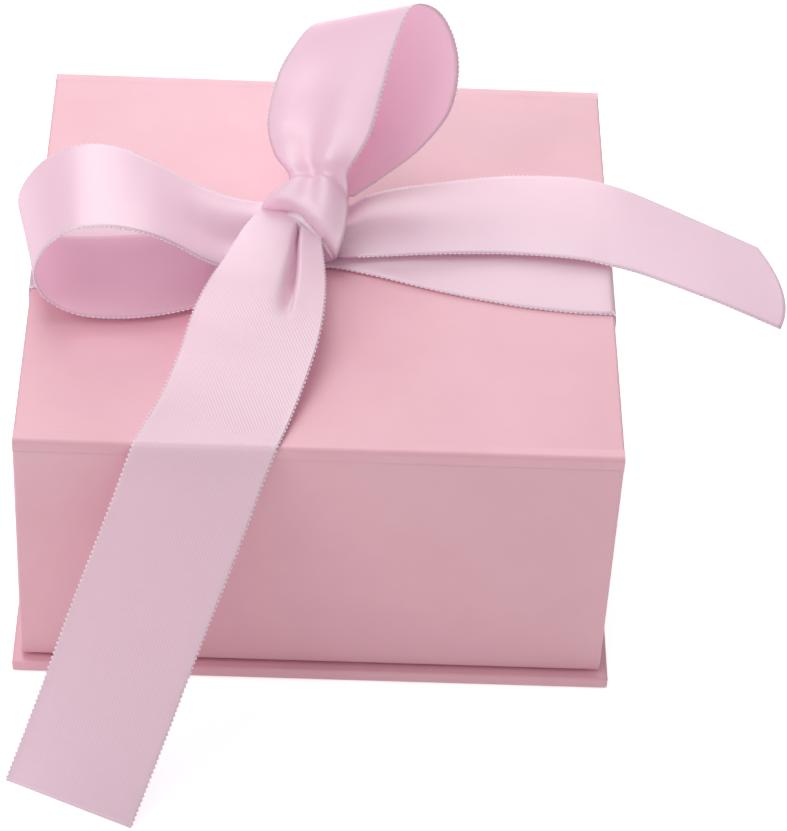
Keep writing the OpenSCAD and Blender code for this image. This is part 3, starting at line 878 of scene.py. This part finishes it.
# %% Band
# one end of the band, from where it meets the strap up onto the lid, as (aside, up)
BAND_END = [(SIDE_X, -2.35), (50.23, -1.20), (50.12, -0.15), (49.60, 0.17), (47, 0.20)]
GATHERED = [
    [-42, -0.8, 0.22, 0, 1, 0, 1],
    [-32, -0.8, 0.25, 0, 1, 0, 1],
    [-20, -0.6, 0.35, 0, 1, 0, 0.88, 0.3, 0.2],
    [-8, -0.3, 0.50, 0, 1, 0, 0.55, 0.8, 0.3],
    [0, 0.0, 0.60, 0, 1, 0, 0.38, 0.8, 0.3],
    [8, -0.2, 0.50, 0, 1, 0, 0.50, 0.8, 0.3],
    [20, -1.0, 0.35, 0, 1, 0, 0.76, 0.3, 0.2],
    [32, -2.0, 0.25, 0, 1, 0, 0.93, 0.1],
    [42, -2.6, 0.22, 0, 1, 0, 1]]
BAND = ([[-x, LEFT_Y, z, 0, 1, 0, 1] for x, z in BAND_END] + GATHERED
        + [[x, RIGHT_Y, z, 0, 1, 0, 1] for x, z in reversed(BAND_END)])
ribbon_piece("ribbon_band_over_lid", Stretch(BAND), "lid", ["ribbon_band"],
             shiny=1)

# %% [markdown]
# ## The bow's left loop
# A loop of ribbon stands up because it is springy: it leaves the knot gathered, opens
# to its full width and turns over in a round bend. The left loop lies on its side along
# the band and shows its hollow to the front. Its lower half comes back to the knot close
# over the band, so it rests on it.

# %% Left loop
LEFT_LOOP = [
    [-5.0, 1.5, 4.6, 0.15, 1, 0.05, 0.58, 0.6, 1.3],
    [-10.0, 0.0, 5.0, 0.20, 1, 0.03, 0.69, 0.6, 1.2],
    [-13.6, -1.9, 5.7, 0.20, 1, 0.02, 0.77, 0.5, 1.0],
    [-17.5, -3.6, 7.2, 0.06, 1, 0.02, 0.85, 0.3, 0.7],
    [-21.6, -4.5, 9.8, -0.03, 1, -0.03, 0.92, 0.2, 0.4],
    [-25.8, -5.0, 13.0, -0.04, 1, -0.07, 0.96, 0, 0.1],
    [-30.0, -5.8, 16.0, -0.03, 1, -0.08, 1, 0, 0],
    [-34.8, -6.0, 17.9, -0.01, 1, -0.03, 1, 0, 0],
    [-39.1, -6.1, 18.4, -0.05, 1, 0.01, 1, 0, 0],
    [-43.4, -6.2, 17.5, -0.08, 1, 0.01, 1, 0, 0],
    [-47.6, -6.6, 14.4, -0.10, 1, 0.04, 1, 0, 0],
    [-50.2, -7.4, 10.4, -0.16, 1, 0.02, 1, 0, 0],
    [-50.6, -8.2, 6.8, -0.22, 1, 0.00, 1, 0, 0],
    [-48.6, -9.0, 3.4, -0.26, 1, -0.02, 1, 0, 0],
    [-43.0, -9.8, 1.5, -0.30, 1, 0.00, 1, 0, 0],
    [-33.0, -9.0, 1.2, -0.30, 1, 0.00, 1, 0, 0],
    [-22.0, -6.3, 1.5, -0.30, 1, 0.00, 0.88, 0, 0.4],
    [-12.0, -2.5, 2.2, -0.20, 1, 0.00, 0.66, 0, 0.8],
    [-6.0, -0.5, 2.8, -0.10, 1, 0.00, 0.56, 0, 0.8]]
ribbon_piece("bow_left_loop", Stretch(LEFT_LOOP, pleats=1.6, lean=0.3), "lid",
             ["ribbon_left_loop"])

# %% [markdown]
# ## The upper loop and the knot's front
# The upper loop stands up and leans back. Its foot is the front of the knot: the ribbon
# comes down over the crossing, is narrow at the waist and ends in a fold that goes under.
# The fold's middle is lifted into an arch by a shift, because a straight strip can't
# show that hollow. At the waist the cloth is tucked, and a ridge with one steep side
# stands for the tuck.

# %% Upper loop
UPPER_LOOP = [
    [-3.2, 2.6, 4.0, 0.78, -0.61, -0.13, 0.66, 0, 0.4],
    [-3.9, 0.8, 3.9, 0.78, -0.61, -0.13, 0.72, 0, 0.4],
    [-4.5, -0.5, 5.0, 0.78, -0.61, -0.13, 0.76, -0.3, 0.5],
    [-3.4, 0.6, 7.5, 0.86, -0.50, -0.06, 0.71, -0.8, 0.7],
    [-2.1, 3.2, 9.6, 0.92, -0.39, 0.02, 0.58, -1.2, 1.0],
    [-1.5, 6.0, 10.9, 0.92, -0.36, 0.15, 0.49, -1.4, 1.5],
    [-1.7, 8.2, 11.9, 0.89, -0.36, 0.28, 0.53, -1.0, 1.8],
    [-1.8, 10.3, 13.4, 0.85, -0.40, 0.33, 0.73, -0.6, 1.7],
    [-1.5, 13.9, 16.9, 0.83, -0.46, 0.31, 0.96, -0.3, 1.0],
    [0.1, 18.2, 23.8, 0.84, -0.43, 0.33, 1, 0, 0.3],
    [2.2, 22.1, 28.8, 0.80, -0.42, 0.42, 1, 0, 0],
    [5.5, 25.8, 32.6, 0.75, -0.42, 0.51, 1, 0, 0],
    [10.4, 27.6, 29.9, 0.75, -0.42, 0.50, 1, 0, 0],
    [12.9, 25.4, 22.4, 0.83, -0.31, 0.46, 1, 0, 0],
    [11.4, 20.2, 14.6, 0.91, -0.12, 0.36, 0.99, 0, 0.1],
    [7.6, 14.8, 10.4, 0.96, 0.02, 0.24, 0.84, 0, 0.4],
    [3.4, 10.4, 8.8, 0.99, 0.05, 0.12, 0.66, 0, 0.8],
    [-0.6, 6.6, 7.8, 1, 0.00, 0.00, 0.50, 0, 0.9]]

# the ends of the knot's lower fold, and which way and how far its middle is lifted
FOLD_LEFT, FOLD_RIGHT = Vector((-11.0, 4.4, 6.2)), Vector((2.2, -5.6, 3.9))
ARCH_UP, ARCH = Vector((0.1, 0.45, 0.88)), 3.4
# the lift fades out this far up into the loop
ARCH_FADE = 7

def arch_height(t):
    """The lift at a share of the way from the fold's left end to its right end."""
    return ARCH * 4 * t * (1 - t)

def knot_arch(spot):
    """Lifts the middle of the knot's lower fold, and fades out up into the loop."""
    fold = FOLD_RIGHT - FOLD_LEFT
    low = spot - Vector((0, 0, TOP)) - FOLD_LEFT
    t = min(max(low.dot(fold) / fold.length_squared, 0), 1)
    fade = max(0, 1 - max(0, (low - t * fold).dot(ARCH_UP)) / ARCH_FADE)
    return spot + ARCH_UP * (arch_height(t) * fade * fade * (3 - 2 * fade))

# how far along the tuck is at the ribbon's edges, and how much further in its middle
WAIST_AT, WAIST_ARCH = 12.4, 2.6
# the width of its steep side and of its gentle side, and its depth
WAIST_LIP, WAIST_FADE, WAIST_DEPTH = 0.7, 2.2, 1.4

def waist_tuck(along, across):
    """The height of the tuck across the waist."""
    past = along - WAIST_AT - WAIST_ARCH * (1 - across * across)
    return WAIST_DEPTH * ridge(past, WAIST_LIP, WAIST_FADE)

ribbon_piece("bow_upper_loop",
             Stretch(UPPER_LOOP, pleats=1.8, lean=0.25, relief=waist_tuck, shift=knot_arch),
             "lid", ["ribbon_upper_loop"], cell=0.6, bare=16.0)

# %% [markdown]
# ## The right tail
# The right tail lies along the band and goes past the lid's edge on its own stiffness,
# bending down a little under its own weight. Its end is cut in a shallow curve, so the
# grid's edges are pulled back there and its middle isn't.

# %% Right tail
RIGHT_TAIL = [
    [3.0, 1.4, 4.4, 0.05, 1, 0.25, 0.46, 0.4, 1.6],
    [9.0, 5.0, 3.5, 0.02, 1, 0.12, 0.70, 0.6, 0.9],
    [20.0, 8.3, 2.4, -0.01, 1, 0.03, 0.86, 0.4, 0.3],
    [32.6, 10.6, 1.7, 0, 1, 0.01, 0.97, 0.2, 0.1],
    [43.4, 10.2, 1.8, -0.02, 1, 0.02, 1, 0, 0],
    [49.0, 9.0, 1.7, -0.05, 1, 0.04, 1, 0, 0],
    [55.4, 7.5, 0.8, -0.08, 1, 0.04, 1, 0, 0],
    [67.3, 3.7, -1.7, -0.10, 1, 0.01, 1, 0, 0],
    [79.1, 0.4, -5.0, -0.10, 1, 0.00, 1, 0.2, 0],
    [80.7, -0.1, -5.4, -0.10, 1, 0.00, 1, 0.3, 0]]
ribbon_piece("bow_right_tail", Stretch(RIGHT_TAIL, pleats=1.4, round_end=2.6), "lid",
             ["ribbon_right_tail"], shiny=1, bare=4.0)

# %% [markdown]
# ## The front tail
# The front tail comes out of the knot, lies on the lid, turns down over its front edge
# and hangs in front of the flap. It is drawn lying flat, and a shift turns whatever is
# past the edge down along the flap. As it leaves the knot it is doubled into a deep
# crease, so its grid has more columns. The flap pushes the tail out of the way as it
# opens, but here the tail is on no body, and its place is baked into its mesh.

# %% Front tail
# the bend goes round a line this far back and down from the lid's front edge
HINGE_IN = 0.4
HINGE_Y = HINGE_IN - HALF
# how high the tail's middle lies over the lid there, and how steeply it hangs
TAIL_LIES = 0.4
DROP = math.radians(55.5)

def over_edge(spot):
    """Turns a point of the front tail down over the lid's front edge."""
    along = HINGE_Y - spot.y
    if along <= 0:
        return spot
    middle = HINGE_IN + TAIL_LIES
    turn = min(along / middle, DROP)
    rest = max(along - middle * DROP, 0)
    reach = HINGE_IN + spot.z - TOP
    return Vector((spot.x, HINGE_Y - reach * math.sin(turn) - rest * math.cos(turn),
                   TOP - HINGE_IN + reach * math.cos(turn) - rest * math.sin(turn)))

# the crease: where it is across the ribbon, how far along it ends, and how deep it is
SLIT_AT, SLIT_ENDS, SLIT_DEPTH = 0.40, 29.0, 3.0
# how far it drifts sideways, its steep lip, and its soft side at the knot and further on
SLIT_DRIFT, SLIT_LIP, SLIT_SOFT, SLIT_OPENS = 0.05, 0.03, 0.05, 0.13

def slit(along, across):
    """The deep crease. It starts half deep, is full after a sixth, and ends in a fade."""
    t = max(along, 0) / SLIT_ENDS
    fade_in, fade_out = min(1, 0.5 + 3 * t), max(0, min(1, 3 * (1 - t)))
    aside = across - SLIT_AT - SLIT_DRIFT * t
    return -(SLIT_DEPTH * fade_out * fade_in
             * ridge(aside, SLIT_SOFT + SLIT_OPENS * t, SLIT_LIP))

FRONT_TAIL = [
    [-5.4, 4.6, 6.4, 0.97, -0.22, -0.05, 0.47, 0.4, 0.4],
    [-6.3, 2.0, 6.6, 0.97, -0.20, -0.05, 0.50, 0.5, 0.5],
    [-7.3, -3.1, 7.1, 0.99, -0.15, -0.04, 0.61, 0.6, 0.5],
    [-8.2, -11.1, 7.5, 0.99, -0.15, -0.04, 0.76, 0.6, 0.4],
    [-9.5, -18.7, 7.5, 0.98, -0.20, -0.02, 0.90, 0.4, 0.3],
    [-11.2, -26.0, 5.7, 0.96, -0.28, -0.02, 0.99, 0.2, 0.1],
    [-13.5, -34.6, 2.7, 0.94, -0.34, 0, 1, 0, 0],
    [-16.3, -43.5, 0.7, 0.94, -0.34, 0, 1, 0, 0],
    [-19.2, -51.6, 0.4, 0.94, -0.34, 0, 1, 0, 0],
    [-23.3, -64.0, 0.4, 0.94, -0.34, 0, 1, 0, 0],
    [-28.6, -79.0, 0.4, 0.94, -0.34, 0, 1, 0, 0],
    [-34.0, -95.0, 0.4, 0.94, -0.34, 0, 1, 0, 0],
    [-39.4, -110.5, 0.4, 0.94, -0.34, 0, 1, 0, 0]]
front_tail = ribbon_piece(
    "bow_front_tail", Stretch(FRONT_TAIL, pleats=1.3, relief=slit, shift=over_edge), None,
    ["ribbon_front_tail_top", "ribbon_front_tail"], cell=0.6, columns=80, shiny=1, bare=6.0)
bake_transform(front_tail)

# %% [markdown]
# ## The knot's core
# The knot's front is the foot of the upper loop, which is pulled down over the crossing
# and folded under. Behind it the ribbon is gathered into a tight lump, which two
# stretched balls stand for, because only their undersides show beside the fold. Where
# the fold goes under, the ribbon's edge rolls up into a thin cord. It is a tube that
# follows the same arch as the fold and thins out towards both its ends.

# %% Knot
# the gathered ribbon behind the fold, as balls: (middle over the lid, half size)
LUMPS = [((-2.0, 2.9, 5.4), (5.4, 4.4, 3.6)), ((0.2, -1.6, 2.7), (2.7, 2.7, 2.3))]
# the hem's radius, the shares of the fold it runs between, and its steps
HEM_RADIUS, HEM_STARTS, HEM_ENDS, HEM_STEPS = 0.6, 0.32, 0.95, 32
HEM_BELOW = Vector((-0.15, -0.8, -0.85))
# how thin the hem is at its ends, as a share of that radius
HEM_POINT = 0.05

def satin_lump(mesh, middle, size):
    """Adds a ball stretched to a half size, in millimetres, with its middle over the lid."""
    made = bmesh.ops.create_uvsphere(mesh, u_segments=28, v_segments=18, radius=1)["verts"]
    bmesh.ops.scale(mesh, vec=Vector(size) * MM, verts=made)
    bmesh.ops.translate(mesh, vec=(Vector(middle) + Vector((0, 0, TOP))) * MM, verts=made)

def rolled_hem():
    """The ribbon's edge, rolled into a thin cord that follows the knot's lower fold."""
    strand = []
    for k in range(HEM_STEPS + 1):
        share = k / HEM_STEPS
        t = HEM_STARTS + (HEM_ENDS - HEM_STARTS) * share
        spot = (FOLD_LEFT + t * (FOLD_RIGHT - FOLD_LEFT) + ARCH_UP * arch_height(t)
                + HEM_BELOW + Vector((0, 0, TOP)))
        full = math.sin(math.pi * share) ** 0.5
        strand.append((spot * MM, HEM_POINT + (1 - HEM_POINT) * full))
    return tubes([strand], HEM_RADIUS, 3, False)

mesh = bmesh.new()
for middle, size in LUMPS:
    satin_lump(mesh, middle, size)
hem = rolled_hem()
mesh.from_mesh(hem)
bpy.data.meshes.remove(hem)
uv = mesh.loops.layers.uv.new(RIBBON_UV)
for face in mesh.faces:
    for loop in face.loops:
        loop[uv].uv = (loop.vert.co.x, loop.vert.co.y)
finished("bow_knot_core", mesh, [satin], "lid", ["ribbon_knot"])

# %% [markdown]
# ## The view transform
# The view transform is Standard, because that shows a colour as it is written.

# %% The view transform
bpy.context.scene.view_settings.view_transform = "Standard"
